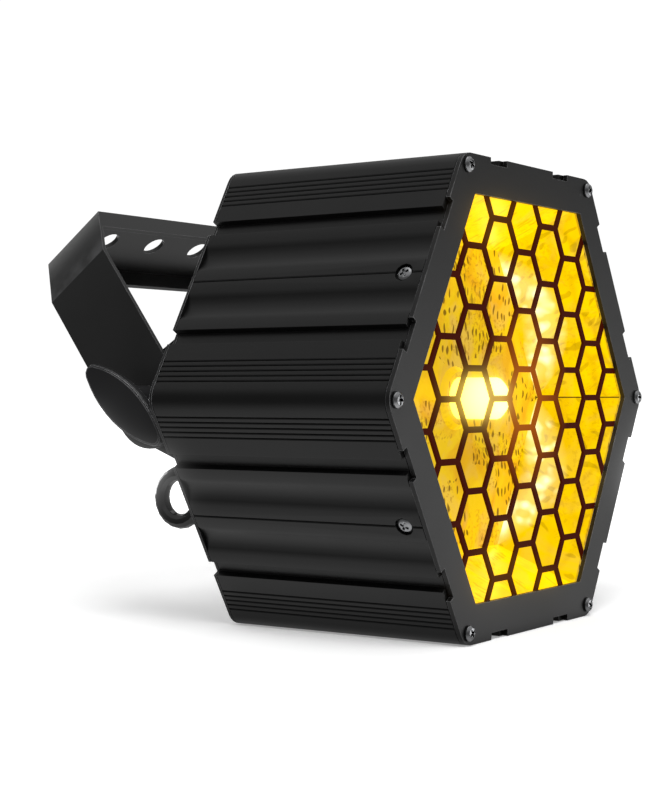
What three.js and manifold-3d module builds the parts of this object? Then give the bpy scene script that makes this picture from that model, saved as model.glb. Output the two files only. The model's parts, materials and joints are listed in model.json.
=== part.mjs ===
// A hexagonal retro LED blinder: an extruded aluminium body with a honeycomb front,
// a gold reflector tray round one warm lamp, and a U-shaped yoke behind it that
// tilts on two clamp knobs.
// Millimetres. X is across the lamp, Y runs from the front to the rear, Z is up.
// The pieces are laid out from the centre of the lamp's front face, and the whole
// lamp is then moved so that the origin is under the middle of it, on the ground.
import * as THREE from 'three';
import { mergeVertices } from 'three/addons/utils/BufferGeometryUtils.js';
import Module from 'manifold-3d';

const wasm = await Module();
wasm.setup();

// Clearances
const seatGap = 0.3;
const runningGap = 0.3;
const cutOverrun = 2;

// The hexagon that the housing, the frame and the rear panel share
const acrossFlats = 241;
const cornerRadius = 11;
const cornerSteps = 4;
const housingLength = 137.6;

// One side of the extruded housing, from its middle line outwards. The land and the
// scoop share the run from the middle to the slot, and the ridge has the rest of it.
const middleLineHalfWidth = 0.6;
const middleLineDepth = 0.8;
const middleLandShare = 0.228;
const scoopShare = 0.569;
const scoopSag = 2.2;
const scoopSteps = 5;
const slotFromCorner = 34.2;
const slotWidth = 8.4;
const slotDepth = 3.5;
const edgeRun = 0.5;
const lineCount = 5;
const linePitch = 2.9;
const lineWidth = 1.1;
const lineDepth = 0.8;
const lastLineFromCorner = 4;

// The housing's inside
const housingWall = 8.5;
const boreCornerRadius = 12;

// Sheet at the front and the rear. Each side of the frame has two shallow notches,
// and the rear panel is notched where the housing's slots are.
const frameThickness = 2.5;
const panelThickness = 1.6;
const notchFromMiddle = 25.5;
const notchWidth = 17;
const notchDepth = 3.5;
const frameBorder = 19.5;
const cornerScrewInset = 5.44;

// The honeycomb grille
const grilleThickness = 1.5;
const cellPitch = 30.37;
const webWidth = 3.2;
const grilleRimWidth = 7.5;
const smallestCellArea = 20;

// The reflector tray
const reflectorWall = 1.2;
const mouthBehindFrame = 2;
const trayWallRun = 21;
const trayDepth = 41;
const skirtLength = 18;
const skirtFromBore = 2.1;

// The lamp and what carries it
const lampRadius = 11;
const lampLength = 30;
const lampNoseRun = 3;
const collarWidth = 6;
const collarHeight = 3;
const lampBoardRadius = 27;
const lampBoardThickness = 1.6;
const sinkWidth = 96;
const sinkHeight = 90;
const sinkBase = 6;
const finCount = 9;
const finThickness = 2.4;

// Inner plate, driver and control board
const rearBayDepth = 52.2;
const innerPlateThickness = 2;
const driverWidth = 100;
const driverHeight = 40;
const driverDepth = 30;
const driverRise = 6;
const standoffRadius = 3.5;
const standoffAcross = 62;
const standoffUp = 46;
const boardThickness = 1.6;
const boardTopMargin = 3.5;
const boardBottomMargin = 15.5;
const boardFromPanel = 5.5;
const postRadius = 3;
const postInset = 5;
const postFromDisplay = 5;

// Display and menu buttons
const displayWidth = 52;
const displayHeight = 24;
const displayAboveButtons = 27;
const displayLip = 2;
const displayLipThickness = 1;
const buttonCount = 4;
const buttonPitch = 18;
const buttonRise = 44;
const buttonRadius = 4.2;
const buttonProud = 2;
const buttonLip = 1.4;
const buttonLipThickness = 1;
const buttonStemRadius = 1.6;
const buttonTravel = 1.2;

// Sockets for power and control
const socketAcross = 30;
const controlDrop = 38;
const socketPitch = 42;
const socketFlangeWidth = 26;
const socketFlangeHeight = 31;
const socketFlangeThickness = 2.5;
const socketFlangeCorner = 3;
const socketBarrelRadius = 11.5;
const socketBarrelLength = 22;
const powerMouthRadius = 9.6;
const controlMouthRadius = 8.6;
const socketMouthDepth = 14;

// Cooling slots in the rear panel
const ventCount = 9;
const ventPitch = 8;
const ventWidth = 3.4;
const ventHeight = 30;
const ventRise = 6;

// Pan head screws
const smallShankRadius = 2;
const smallHeadRadius = 4;
const smallHeadHeight = 2.5;
const smallShankLength = 12;
const lowHeadHeight = 1.5;
const bigShankRadius = 2.5;
const bigHeadRadius = 4.7;
const bigHeadHeight = 2.8;
const bigShankLength = 11;
const headRimShare = 0.4;
const headShoulderShare = 0.72;
const headShoulderHeightShare = 0.86;
const recessWidthShare = 0.3;
const recessLengthShare = 1.15;
const recessDepthShare = 0.6;
const sideScrewFromFront = 13;
const screwRecessDepth = 1.9;
const screwRecessGap = 0.8;

// The yoke: one bent sheet with a flange along each edge of its bar
const yokeSheet = 2.5;
const yokeHalfSpan = 100;
const yokeWidth = 47;
const yokeRise = 114.7;
const yokeLeanDegrees = 36.2;
const shoulderAcross = 14.6;
const shoulderUp = 28.2;
const frontFlange = 11;
const rearFlange = 13;
const clampHoleRadius = 6.7;
const clampHolePitch = 40;
const clampHoleCount = 4;
const clampHoleForward = 2.6;

// The pivot
const pivotBehindPanel = 31.9;
const pivotDrop = 3;
const studRadius = 4;
const washerRadius = 17;
const washerThickness = 1;
const earThickness = 3;
const earRootUp = 42.5;
const earRootDown = 38.5;
const earEndRadius = 21.5;
const earEndSteps = 12;
const footReach = 25;
const weldNutRadius = 8;
const weldNutLength = 6;
const footScrewInset = 12;
const footScrewUp = 23;

// The clamp knobs
const knobHubRadius = 10;
const knobHubLength = 15.5;
const knobHalfLength = 31.5;
const knobHalfWidth = 11.5;
const knobTipRadius = 3.6;
const knobWingThickness = 6;
const knobEdge = 1.4;
const knobSideSteps = 10;
const knobTipSteps = 4;
const leftKnobDegrees = -37.8;
const rightKnobDegrees = -24;

// The safety eye
const eyeFromEdge = 17.3;
const eyeAlongSide = 0.8;
const eyeRingRadius = 12.8;
const eyeWireRadius = 4;
const eyeCollarRadius = 7;
const eyeCollarHeight = 4.3;
const eyeSink = 2;
const eyeStudRadius = 3;
const eyeStudLength = 13;
const eyeNutRadius = 5.8;
const eyeNutHeight = 5;

const roundSteps = 20;
const smallRoundSteps = 12;

// Places that follow from the sizes above
const sixth = Math.PI / 3;
const twelfth = Math.PI / 6;
const flat = acrossFlats / 2;
const boreFlat = flat - housingWall;
const openingFlat = flat - frameBorder;
const mouthFlat = openingFlat + mouthBehindFrame;
const floorFlat = mouthFlat - trayWallRun;
const halfSide = (flat - cornerRadius) * Math.tan(twelfth);
const cornerReach = (flat - cornerRadius) / Math.cos(twelfth) + cornerRadius;
const cornerScrewRadius = cornerReach - cornerScrewInset;
const slotFrom = halfSide - slotFromCorner;
const slotTo = slotFrom + slotWidth;
const housingFront = frameThickness + seatGap;
const panelFront = housingFront + housingLength + seatGap;
const panelBack = panelFront + panelThickness;
const grilleFront = frameThickness + seatGap;
const trayMouth = grilleFront + grilleThickness + seatGap;
const trayFloor = trayMouth + trayDepth;
const trayBack = trayFloor + reflectorWall;
const lampBoardFront = trayBack + seatGap;
const sinkFront = lampBoardFront + lampBoardThickness + seatGap;
const plateBack = panelFront - rearBayDepth;
const plateFront = plateBack - innerPlateThickness;
const boardBack = panelFront - boardFromPanel;
const displayRise = buttonRise + displayAboveButtons;
const postAcross = displayWidth / 2 + displayLip + postFromDisplay + postRadius;
const boardTop = displayRise + displayHeight / 2 + boardTopMargin;
const boardBottom = buttonRise - boardBottomMargin;
const powerDrop = controlDrop + socketPitch;
const pivotAt = new THREE.Vector3(0, panelBack + pivotBehindPanel, -pivotDrop);
const armInner = yokeHalfSpan - yokeSheet;
const washerOuter = armInner - runningGap;
const washerInner = washerOuter - washerThickness;
const earOuter = washerInner - runningGap;
const earInner = earOuter - earThickness;
const footBack = panelBack + seatGap + earThickness;

// The shape's x and y become Y and Z, and its depth runs along X
const sideways = new THREE.Matrix4().makeBasis(
  new THREE.Vector3(0, 1, 0), new THREE.Vector3(0, 0, 1), new THREE.Vector3(1, 0, 0));

function degrees(value) {
  return THREE.MathUtils.degToRad(value);
}

function bare(geometry) {
  const plain = geometry.clone();
  plain.deleteAttribute('normal');
  plain.deleteAttribute('uv');
  return mergeVertices(plain);
}

function solid(geometry) {
  const plain = bare(geometry);
  return new wasm.Manifold(new wasm.Mesh({
    numProp: 3,
    vertProperties: Float32Array.from(plain.attributes.position.array),
    triVerts: Uint32Array.from(plain.index.array),
  }));
}

function geometryOf(body) {
  const mesh = body.getMesh();
  const geometry = new THREE.BufferGeometry();
  const points = Float32Array.from(mesh.vertProperties);
  geometry.setAttribute('position', new THREE.BufferAttribute(points, 3));
  geometry.setIndex(Array.from(mesh.triVerts));
  geometry.computeVertexNormals();
  return geometry;
}

function joined(first, ...others) {
  let body = solid(first);
  for (const other of others) {
    body = body.add(solid(other));
  }
  return geometryOf(body);
}

function cutBy(first, ...tools) {
  let body = solid(first);
  for (const tool of tools) {
    body = body.subtract(solid(tool));
  }
  return geometryOf(body);
}

function circlePoints(x, y, radius, steps) {
  const points = [];
  for (let step = 0; step < steps; step++) {
    const angle = 2 * Math.PI * step / steps;
    points.push(new THREE.Vector2(x + radius * Math.cos(angle), y + radius * Math.sin(angle)));
  }
  return points;
}

function rectanglePoints(x, y, width, height) {
  const w = width / 2;
  const h = height / 2;
  return [[-w, -h], [w, -h], [w, h], [-w, h]].map(([a, b]) => new THREE.Vector2(x + a, y + b));
}

// A rectangle whose corners are arcs
function roundedPoints(x, y, width, height, radius, steps) {
  const points = [];
  const corners = [[1, 1], [-1, 1], [-1, -1], [1, -1]];
  corners.forEach(([right, up], corner) => {
    const cx = x + right * (width / 2 - radius);
    const cy = y + up * (height / 2 - radius);
    for (let step = 0; step <= steps; step++) {
      const angle = Math.PI / 2 * (corner + step / steps);
      points.push(new THREE.Vector2(cx + radius * Math.cos(angle), cy + radius * Math.sin(angle)));
    }
  });
  return points;
}

// A hexagon with a corner to the left and right. detail lists, along one side, how
// far from its middle and how deep below its flat each point lies.
function hexagonPoints(inradius, radius, detail = []) {
  const points = [];
  for (let side = 0; side < 6; side++) {
    const normal = twelfth + side * sixth;
    for (const [along, depth] of detail) {
      const out = inradius - depth;
      points.push(new THREE.Vector2(
        out * Math.cos(normal) - along * Math.sin(normal),
        out * Math.sin(normal) + along * Math.cos(normal)));
    }
    const reach = (inradius - radius) / Math.cos(twelfth);
    const cx = reach * Math.cos(normal + twelfth);
    const cy = reach * Math.sin(normal + twelfth);
    for (let step = 0; step <= cornerSteps; step++) {
      const angle = normal + sixth * step / cornerSteps;
      points.push(new THREE.Vector2(cx + radius * Math.cos(angle), cy + radius * Math.sin(angle)));
    }
  }
  return points;
}

// The same detail on both halves of a side
function mirroredDetail(half) {
  const other = half.filter(([along]) => along > 0).map(([along, depth]) => [-along, depth]);
  return [...other.reverse(), ...half];
}

// A flat plate that stands across the lamp, from one Y to another
function plate(outline, holes, from, thickness) {
  const shape = new THREE.Shape(outline);
  shape.holes = holes.map((points) => new THREE.Path(points));
  const geometry = new THREE.ExtrudeGeometry(shape, { depth: thickness, bevelEnabled: false });
  geometry.rotateX(Math.PI / 2);
  geometry.translate(0, from + thickness, 0);
  return geometry;
}

function sidewaysPlate(points, from, thickness) {
  const shape = new THREE.Shape(points);
  const geometry = new THREE.ExtrudeGeometry(shape, { depth: thickness, bevelEnabled: false });
  geometry.applyMatrix4(sideways);
  geometry.translate(from, 0, 0);
  return geometry;
}

function rod(radius, from, to, x = 0, z = 0, steps = roundSteps) {
  const geometry = new THREE.CylinderGeometry(radius, radius, to - from, steps);
  geometry.translate(x, (from + to) / 2, z);
  return geometry;
}

function crossRod(radius, from, to, y = 0, z = 0, steps = roundSteps) {
  const geometry = new THREE.CylinderGeometry(radius, radius, to - from, steps);
  geometry.rotateZ(-Math.PI / 2);
  geometry.translate((from + to) / 2, y, z);
  return geometry;
}

function block(width, depth, height, x, y, z) {
  const geometry = new THREE.BoxGeometry(width, depth, height);
  geometry.translate(x, y, z);
  return geometry;
}

function turned(profile, steps = roundSteps) {
  const points = profile.map(([radius, y]) => new THREE.Vector2(radius, y));
  return new THREE.LatheGeometry(points, steps);
}

// A hexagonal shell: the profile gives half the width across flats at each Y
function hexTurned(profile) {
  const points = profile.map(([inradius, y]) => new THREE.Vector2(inradius / Math.cos(twelfth), y));
  return new THREE.LatheGeometry(points, 6, Math.PI / 2);
}

const lamp = new THREE.Group();

function add(parent, name, geometry, look) {
  const material = new THREE.MeshStandardMaterial(look);
  const mesh = new THREE.Mesh(geometry, material);
  mesh.name = name;
  parent.add(mesh);
  return mesh;
}

const blackPaint = { color: 0x17181a, roughness: 0.5, metalness: 0.3 };
const blackAnodised = { color: 0x141517, roughness: 0.42, metalness: 0.6 };
const screwZinc = { color: 0xb9bcc0, roughness: 0.3, metalness: 1 };
const blackPlastic = { color: 0x111213, roughness: 0.55, metalness: 0 };
const goldReflector = { color: 0xe0a020, roughness: 0.25, metalness: 1 };
const warmLamp = { color: 0xffe2a0, roughness: 0.4, metalness: 0 };
const bareAluminium = { color: 0xa8abad, roughness: 0.4, metalness: 1 };
const zincSteel = { color: 0x9a9da0, roughness: 0.45, metalness: 1 };
const greenBoard = { color: 0x1f5a34, roughness: 0.5, metalness: 0 };
const whiteBoard = { color: 0xe8e8e2, roughness: 0.5, metalness: 0 };
const darkGlass = { color: 0x0c1216, roughness: 0.1, metalness: 0 };

// Half of one side of the extrusion: middle line, land, scoop, ridge, slot, land and lines
function housingDetail() {
  const landTo = slotFrom * middleLandShare;
  const scoopWidth = slotFrom * scoopShare;
  const half = [
    [0, middleLineDepth],
    [middleLineHalfWidth, 0],
    [landTo, 0],
  ];
  for (let step = 1; step <= scoopSteps; step++) {
    const share = step / (scoopSteps + 1);
    half.push([landTo + scoopWidth * share, scoopSag * Math.sin(Math.PI * share)]);
  }
  half.push([landTo + scoopWidth, 0]);
  half.push([slotFrom, 0]);
  half.push([slotFrom + edgeRun, slotDepth]);
  half.push([slotTo - edgeRun, slotDepth]);
  half.push([slotTo, 0]);
  for (let line = lineCount - 1; line >= 0; line--) {
    const middle = halfSide - lastLineFromCorner - line * linePitch;
    half.push([middle - lineWidth / 2, 0]);
    half.push([middle, lineDepth]);
    half.push([middle + lineWidth / 2, 0]);
  }
  return mirroredDetail(half);
}

// Corners of the hexagon, counted from the right, as seen from the front
function cornerPlaces(radius) {
  const places = [];
  for (let corner = 0; corner < 6; corner++) {
    places.push([radius * Math.cos(corner * sixth), radius * Math.sin(corner * sixth)]);
  }
  return places;
}

function sideNormals() {
  const normals = [];
  for (let side = 0; side < 6; side++) {
    const angle = twelfth + side * sixth;
    normals.push(new THREE.Vector3(Math.cos(angle), 0, Math.sin(angle)));
  }
  return normals;
}

// A rod that points from the lamp's axis out through the middle of one side
function sideRod(radius, from, to, normal) {
  const geometry = new THREE.CylinderGeometry(radius, radius, to - from, smallRoundSteps);
  geometry.translate(0, (from + to) / 2, 0);
  const turn = new THREE.Quaternion().setFromUnitVectors(new THREE.Vector3(0, 1, 0), normal);
  geometry.applyQuaternion(turn);
  geometry.translate(0, sideScrewFromFront, 0);
  return geometry;
}

const sideHoleRadius = smallShankRadius + runningGap;
const recessRadius = smallHeadRadius + screwRecessGap;
const recessFloor = flat - screwRecessDepth;
const skirtFlat = boreFlat - skirtFromBore;

function makeHousing() {
  const outline = hexagonPoints(flat, cornerRadius, housingDetail());
  const bore = hexagonPoints(boreFlat, boreCornerRadius);
  const tube = plate(outline, [bore], housingFront, housingLength);
  const holes = [];
  const holeDepth = smallShankLength + cutOverrun;
  for (const [x, z] of cornerPlaces(cornerScrewRadius)) {
    const front = housingFront - cutOverrun;
    const back = housingFront + housingLength + cutOverrun;
    holes.push(rod(sideHoleRadius, front, housingFront + holeDepth, x, z, smallRoundSteps));
    holes.push(rod(sideHoleRadius, back - cutOverrun - holeDepth, back, x, z, smallRoundSteps));
  }
  for (const normal of sideNormals()) {
    holes.push(sideRod(sideHoleRadius, boreFlat - cutOverrun, flat, normal));
    holes.push(sideRod(recessRadius, recessFloor, flat + cutOverrun, normal));
  }
  add(lamp, 'housing', cutBy(tube, ...holes), blackAnodised);
}

// The outline of a sheet as large as the housing, with two notches in each side
function sheetOutline(from, width, depth) {
  return hexagonPoints(flat, cornerRadius, mirroredDetail([
    [from, 0],
    [from, depth],
    [from + width, depth],
    [from + width, 0],
  ]));
}

function makeFrontFrame() {
  const holes = [hexagonPoints(openingFlat, edgeRun)];
  for (const [x, z] of cornerPlaces(cornerScrewRadius)) {
    holes.push(circlePoints(x, z, smallShankRadius + runningGap, smallRoundSteps));
  }
  const outline = sheetOutline(notchFromMiddle, notchWidth, notchDepth);
  add(lamp, 'front_frame', plate(outline, holes, 0, frameThickness), blackPaint);
}

// What is left of a convex outline inside one straight edge
function clippedBy(points, normal, reach) {
  const kept = [];
  points.forEach((point, index) => {
    const next = points[(index + 1) % points.length];
    const here = reach - point.dot(normal);
    const there = reach - next.dot(normal);
    if (here >= 0) {
      kept.push(point);
    }
    if (here * there < 0) {
      kept.push(point.clone().lerp(next, here / (here - there)));
    }
  });
  return kept;
}

function grilleCells() {
  const limit = boreFlat - seatGap - grilleRimWidth;
  const columnPitch = cellPitch * Math.cos(twelfth);
  const cellRadius = (cellPitch - webWidth) / 2 / Math.cos(twelfth);
  const columns = Math.ceil(limit / Math.cos(twelfth) / columnPitch);
  const rows = Math.ceil(limit / cellPitch);
  const cells = [];
  for (let column = -columns; column <= columns; column++) {
    const shift = column % 2 === 0 ? 0 : cellPitch / 2;
    for (let row = -rows; row <= rows; row++) {
      const x = column * columnPitch;
      const z = row * cellPitch + shift;
      let cell = circlePoints(x, z, cellRadius, 6);
      for (const normal of sideNormals()) {
        cell = clippedBy(cell, new THREE.Vector2(normal.x, normal.z), limit);
      }
      const size = cell.length;
      cell = cell.filter((point, at) => point.distanceTo(cell[(at + 1) % size]) > seatGap);
      if (cell.length > 2 && Math.abs(THREE.ShapeUtils.area(cell)) > smallestCellArea) {
        cells.push(cell);
      }
    }
  }
  return cells;
}

function makeGrille() {
  const outline = hexagonPoints(boreFlat - seatGap, boreCornerRadius);
  const sheet = plate(outline, [], grilleFront, grilleThickness);
  const tools = grilleCells().map((cell) => plate(cell, [], grilleFront - cutOverrun,
    grilleThickness + 2 * cutOverrun));
  add(lamp, 'honeycomb_grille', cutBy(sheet, ...tools), blackPaint);
}

function makeReflector() {
  const wall = reflectorWall;
  const shell = hexTurned([
    [0, trayFloor],
    [floorFlat, trayFloor],
    [mouthFlat, trayMouth],
    [skirtFlat, trayMouth],
    [skirtFlat, trayMouth + skirtLength],
    [skirtFlat - wall, trayMouth + skirtLength],
    [skirtFlat - wall, trayMouth + wall],
    [mouthFlat + wall, trayMouth + wall],
    [floorFlat + wall, trayBack],
    [0, trayBack],
  ]);
  const cuts = [rod(lampRadius + runningGap, trayFloor - cutOverrun, trayBack + cutOverrun)];
  for (const normal of sideNormals()) {
    const from = skirtFlat - wall - cutOverrun;
    cuts.push(sideRod(sideHoleRadius, from, skirtFlat + cutOverrun, normal));
  }
  add(lamp, 'reflector_tray', cutBy(shell, ...cuts), goldReflector);
}

function makeLightEngine() {
  const nose = trayBack - lampLength;
  const body = turned([
    [0, nose],
    [lampRadius - lampNoseRun, nose],
    [lampRadius, nose + lampNoseRun],
    [lampRadius, trayBack],
    [0, trayBack],
  ]);
  add(lamp, 'lamp_diffuser', body, warmLamp);

  const inner = lampRadius + runningGap;
  const collarBack = trayFloor - seatGap;
  const collarFront = collarBack - collarHeight;
  const collar = turned([
    [inner, collarFront],
    [inner + collarWidth / 2, collarFront],
    [inner + collarWidth, collarBack],
    [inner, collarBack],
    [inner, collarFront],
  ]);
  add(lamp, 'lamp_collar', collar, goldReflector);

  const disc = rod(lampBoardRadius, lampBoardFront, lampBoardFront + lampBoardThickness);
  add(lamp, 'lamp_board', disc, whiteBoard);

  const comb = new THREE.Shape(combPoints());
  const sink = new THREE.ExtrudeGeometry(comb, { depth: sinkHeight, bevelEnabled: false });
  sink.translate(0, 0, -sinkHeight / 2);
  add(lamp, 'heat_sink', sink, bareAluminium);
}

// The heat sink seen from above: a base with upright fins behind it
function combPoints() {
  const points = [];
  const root = sinkFront + sinkBase;
  const tip = plateFront - seatGap;
  const pitch = (sinkWidth - finThickness) / (finCount - 1);
  points.push(new THREE.Vector2(-sinkWidth / 2, sinkFront));
  points.push(new THREE.Vector2(sinkWidth / 2, sinkFront));
  for (let fin = 0; fin < finCount; fin++) {
    const right = sinkWidth / 2 - fin * pitch;
    if (fin > 0) {
      points.push(new THREE.Vector2(right, root));
    }
    points.push(new THREE.Vector2(right, tip));
    points.push(new THREE.Vector2(right - finThickness, tip));
    if (fin < finCount - 1) {
      points.push(new THREE.Vector2(right - finThickness, root));
    }
  }
  return points;
}

function makeElectronics() {
  const edge = boreFlat - seatGap;
  const inner = plate(hexagonPoints(edge, boreCornerRadius), [], plateFront, innerPlateThickness);
  add(lamp, 'inner_plate', inner, zincSteel);

  const driverY = plateBack + seatGap + driverDepth / 2;
  const driver = block(driverWidth, driverDepth, driverHeight, 0, driverY, driverRise);
  add(lamp, 'led_driver', driver, bareAluminium);

  let count = 0;
  for (const across of [-standoffAcross, standoffAcross]) {
    for (const up of [-standoffUp, standoffUp]) {
      count += 1;
      const from = plateBack + seatGap;
      const pillar = rod(standoffRadius, from, panelFront - seatGap, across, up, smallRoundSteps);
      add(lamp, `standoff_${count}`, pillar, zincSteel);
    }
  }

  const boardY = boardBack - boardThickness / 2;
  const posts = [];
  for (const x of [-postAcross, postAcross]) {
    for (const z of [boardBottom + postInset, boardTop - postInset]) {
      posts.push(rod(postRadius, boardY, panelFront - seatGap, x, z, smallRoundSteps));
    }
  }
  const boardWidth = 2 * (postAcross + postInset);
  const sheet = block(boardWidth, boardThickness, boardTop - boardBottom, 0, boardY,
    (boardTop + boardBottom) / 2);
  add(lamp, 'control_board', joined(sheet, ...posts), greenBoard);
}

const socketPlaces = [
  ['power_inlet', -socketAcross, -powerDrop, powerMouthRadius],
  ['power_outlet', socketAcross, -powerDrop, powerMouthRadius],
  ['control_inlet', -socketAcross, -controlDrop, controlMouthRadius],
  ['control_outlet', socketAcross, -controlDrop, controlMouthRadius],
];

function buttonPlaces() {
  const places = [];
  for (let button = 0; button < buttonCount; button++) {
    places.push((button - (buttonCount - 1) / 2) * buttonPitch);
  }
  return places;
}

const footScrewX = earInner - footScrewInset;

// The safety eye stands inside the middle of the panel's lower left edge
const eyeX = -(flat - eyeFromEdge) * Math.cos(twelfth) + eyeAlongSide * Math.sin(twelfth);
const eyeZ = -(flat - eyeFromEdge) * Math.sin(twelfth) - eyeAlongSide * Math.cos(twelfth);

function makeRearPanel() {
  const holes = [];
  for (const [x, z] of cornerPlaces(cornerScrewRadius)) {
    holes.push(circlePoints(x, z, smallShankRadius + runningGap, smallRoundSteps));
  }
  for (const [, x, z] of socketPlaces) {
    holes.push(circlePoints(x, z, socketBarrelRadius + runningGap, roundSteps));
  }
  const gaps = 2 * seatGap;
  holes.push(rectanglePoints(0, displayRise, displayWidth + gaps, displayHeight + gaps));
  for (const x of buttonPlaces()) {
    holes.push(circlePoints(x, buttonRise, buttonRadius + runningGap, roundSteps));
  }
  for (let vent = 0; vent < ventCount; vent++) {
    const x = (vent - (ventCount - 1) / 2) * ventPitch;
    holes.push(roundedPoints(x, ventRise, ventWidth, ventHeight, ventWidth / 2, 2));
  }
  for (const side of [-1, 1]) {
    for (const level of [-1, 1]) {
      const hole = bigShankRadius + runningGap;
      const x = side * footScrewX;
      holes.push(circlePoints(x, level * footScrewUp, hole, smallRoundSteps));
    }
  }
  const eyeHole = eyeStudRadius + runningGap;
  holes.push(circlePoints(eyeX, eyeZ, eyeHole, smallRoundSteps));
  const outline = sheetOutline(slotFrom, slotWidth, slotDepth);
  add(lamp, 'rear_panel', plate(outline, holes, panelFront, panelThickness), blackPaint);
}

function makeControls() {
  const glass = plate(rectanglePoints(0, displayRise, displayWidth, displayHeight), [],
    panelFront - displayLipThickness, displayLipThickness + panelThickness);
  const lipWidth = displayWidth + 2 * displayLip;
  const lipHeight = displayHeight + 2 * displayLip;
  const lip = plate(rectanglePoints(0, displayRise, lipWidth, lipHeight), [],
    panelFront - seatGap - displayLipThickness, displayLipThickness);
  add(lamp, 'display_window', joined(glass, lip), darkGlass);

  const lipBack = panelFront - seatGap;
  const lipFront = lipBack - buttonLipThickness;
  const stemEnd = boardBack + buttonTravel + seatGap;
  const capBack = panelBack + buttonProud;
  const cap = turned([
    [0, stemEnd],
    [buttonStemRadius, stemEnd],
    [buttonStemRadius, lipFront],
    [buttonRadius + buttonLip, lipFront],
    [buttonRadius + buttonLip, lipBack],
    [buttonRadius, lipBack],
    [buttonRadius, capBack - edgeRun],
    [buttonRadius - edgeRun, capBack],
    [0, capBack],
  ]);
  buttonPlaces().forEach((x, index) => {
    const mesh = add(lamp, `menu_button_${index + 1}`, cap, blackPlastic);
    mesh.position.set(x, 0, buttonRise);
  });
}

function makeSockets() {
  const from = panelBack + seatGap;
  for (const [name, x, z, mouth] of socketPlaces) {
    const outline = roundedPoints(0, 0, socketFlangeWidth, socketFlangeHeight,
      socketFlangeCorner, 3);
    const flange = plate(outline, [], from, socketFlangeThickness);
    const top = from + socketFlangeThickness;
    const barrel = rod(socketBarrelRadius, panelBack - socketBarrelLength, top);
    const cavity = rod(mouth, top - socketMouthDepth, top + cutOverrun);
    const body = solid(flange).add(solid(barrel)).subtract(solid(cavity));
    const mesh = add(lamp, name, geometryOf(body), blackPlastic);
    mesh.position.set(x, 0, z);
  }
}

// A pan head screw with a cross recess. Its head is towards -Y and its seat at 0.
function screwGeometry(headRadius, headHeight, shankRadius, shankLength) {
  const body = turned([
    [0, shankLength],
    [shankRadius, shankLength],
    [shankRadius, 0],
    [headRadius, 0],
    [headRadius, -headHeight * headRimShare],
    [headRadius * headShoulderShare, -headHeight * headShoulderHeightShare],
    [0, -headHeight],
  ].reverse(), smallRoundSteps);
  const depth = headHeight * recessDepthShare;
  const width = headRadius * recessWidthShare;
  const length = headRadius * recessLengthShare;
  const middle = -headHeight - cutOverrun / 2 + depth / 2;
  const tall = depth + cutOverrun;
  return cutBy(body,
    block(width, tall, length, 0, middle, 0),
    block(length, tall, width, 0, middle, 0));
}

const smallScrew = screwGeometry(
  smallHeadRadius, smallHeadHeight, smallShankRadius, smallShankLength);
const lowScrew = screwGeometry(
  smallHeadRadius, lowHeadHeight, smallShankRadius, smallShankLength);
const bigScrew = screwGeometry(bigHeadRadius, bigHeadHeight, bigShankRadius, bigShankLength);

function makeScrews() {
  cornerPlaces(cornerScrewRadius).forEach(([x, z], index) => {
    const front = add(lamp, `front_screw_${index + 1}`, smallScrew, screwZinc);
    front.position.set(x, -seatGap, z);
    front.rotation.y = index * sixth;
    const rear = add(lamp, `rear_screw_${index + 1}`, smallScrew, screwZinc);
    rear.position.set(x, panelBack + seatGap, z);
    rear.rotation.z = Math.PI;
  });
  sideNormals().forEach((normal, index) => {
    const screw = add(lamp, `side_screw_${index + 1}`, lowScrew, screwZinc);
    screw.quaternion.setFromUnitVectors(new THREE.Vector3(0, -1, 0), normal);
    screw.position.copy(normal).multiplyScalar(recessFloor + seatGap);
    screw.position.y = sideScrewFromFront;
  });
}

// Half of the bent strip, seen along its width: from the pivot up to the bar
function stripPoints(span, rise, across, up) {
  return [[span, 0], [span, rise - up], [span - across, rise], [across - span, rise],
    [-span, rise - up], [-span, 0]];
}

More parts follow.
